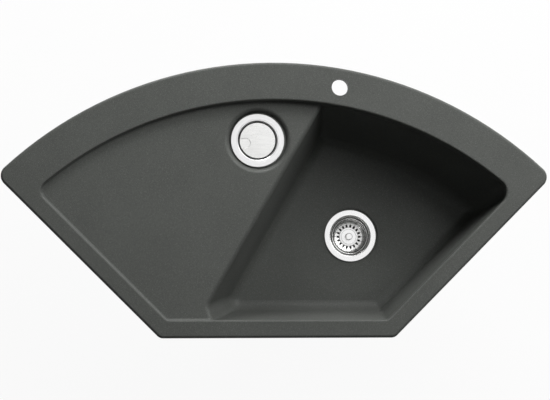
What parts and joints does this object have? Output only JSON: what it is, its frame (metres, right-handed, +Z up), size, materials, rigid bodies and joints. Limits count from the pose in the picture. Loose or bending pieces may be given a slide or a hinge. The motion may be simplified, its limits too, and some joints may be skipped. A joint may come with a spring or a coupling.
{
  "type": "corner kitchen sink",
  "caption": "Corner inset kitchen sink in granite composite with a drainer, a bowl, a lift-out strainer, a lidded drainer waste, joined pipework and swing-out fixing clips.",
  "frame": {"origin": "on the tap hole's axis, in the plane of the worktop that the rim rests on", "axes": "+X along the front edge to the right, +Y towards the corner of the room, +Z up"},
  "size_m": [1.1356, 0.5718, 0.379],
  "materials": {
    "composite": "matt moulded granite composite, anthracite grey with fine grain",
    "foam_strip": "closed-cell foam sealing strip",
    "seal_rubber": "soft black rubber",
    "stainless": "pressed stainless steel, satin",
    "waste_plastic": "moulded polypropylene, pale grey",
    "pipe_plastic": "white polypropylene waste pipe",
    "nut_plastic": "white polypropylene, ribbed grip",
    "dark_plastic": "black moulded plastic",
    "insert_brass": "turned brass",
    "zinc_steel": "zinc-plated steel"
  },
  "bodies": {
    "sink": {"sink_body": "composite", "rim_seal": "foam_strip", "bowl_flange_seal": "seal_rubber", "drainer_flange_seal": "seal_rubber", "bowl_body_seal": "seal_rubber", "drainer_body_seal": "seal_rubber", "slip_seals": "seal_rubber", "bowl_waste_cup": "stainless", "drainer_waste_cup": "stainless", "bowl_clamp_screw": "stainless", "drainer_clamp_screw": "stainless", "bowl_waste_body": "waste_plastic", "drainer_waste_body": "waste_plastic", "drop_pipe": "pipe_plastic", "pipe_elbow": "pipe_plastic", "cross_pipe": "pipe_plastic", "waste_tee": "pipe_plastic", "slip_nuts": "nut_plastic", "clip_inserts": "insert_brass", "clip_screws": "zinc_steel", "clip_nuts": "zinc_steel"},
    "strainer": {"strainer_basket": "stainless", "strainer_knob": "stainless", "strainer_plug_seal": "seal_rubber", "strainer_retainer": "stainless"},
    "lid": {"drainer_lid": "stainless", "lid_support": "dark_plastic"},
    "clip_1": {"clip_arm_1": "zinc_steel"},
    "clip_2": {"clip_arm_2": "zinc_steel"},
    "clip_3": {"clip_arm_3": "zinc_steel"},
    "clip_4": {"clip_arm_4": "zinc_steel"},
    "clip_5": {"clip_arm_5": "zinc_steel"},
    "clip_6": {"clip_arm_6": "zinc_steel"},
    "clip_7": {"clip_arm_7": "zinc_steel"},
    "clip_8": {"clip_arm_8": "zinc_steel"}
  },
  "joints": [
    {"name": "strainer_lift", "type": "slide", "parent": "sink", "child": "strainer", "axis": [0, 0, 1], "range_m": [0, 0.24]},
    {"name": "lid_lift", "type": "slide", "parent": "sink", "child": "lid", "axis": [0, 0, 1], "range_m": [0, 0.06]},
    {"name": "clip_1_turn", "type": "hinge", "parent": "sink", "child": "clip_1", "pos_m": [-0.59223, -0.11522, -0.054], "axis": [0, 0, 1], "range_deg": [0, 90]},
    {"name": "clip_2_turn", "type": "hinge", "parent": "sink", "child": "clip_2", "pos_m": [-0.2997, 0.01198, -0.054], "axis": [0, 0, 1], "range_deg": [0, 90]},
    {"name": "clip_3_turn", "type": "hinge", "parent": "sink", "child": "clip_3", "pos_m": [0.16631, -0.0288, -0.054], "axis": [0, 0, 1], "range_deg": [0, 90]},
    {"name": "clip_4_turn", "type": "hinge", "parent": "sink", "child": "clip_4", "pos_m": [0.34808, -0.13163, -0.054], "axis": [0, 0, 1], "range_deg": [0, 90]},
    {"name": "clip_5_turn", "type": "hinge", "parent": "sink", "child": "clip_5", "pos_m": [0.25667, -0.34231, -0.054], "axis": [0, 0, 1], "range_deg": [0, 90]},
    {"name": "clip_6_turn", "type": "hinge", "parent": "sink", "child": "clip_6", "pos_m": [-0.52342, -0.34231, -0.054], "axis": [0, 0, 1], "range_deg": [0, 90]},
    {"name": "clip_7_turn", "type": "hinge", "parent": "sink", "child": "clip_7", "pos_m": [-0.00337, -0.49854, -0.054], "axis": [0, 0, 1], "range_deg": [0, 90]},
    {"name": "clip_8_turn", "type": "hinge", "parent": "sink", "child": "clip_8", "pos_m": [-0.26337, -0.49854, -0.054], "axis": [0, 0, 1], "range_deg": [0, 90]}
  ]
}
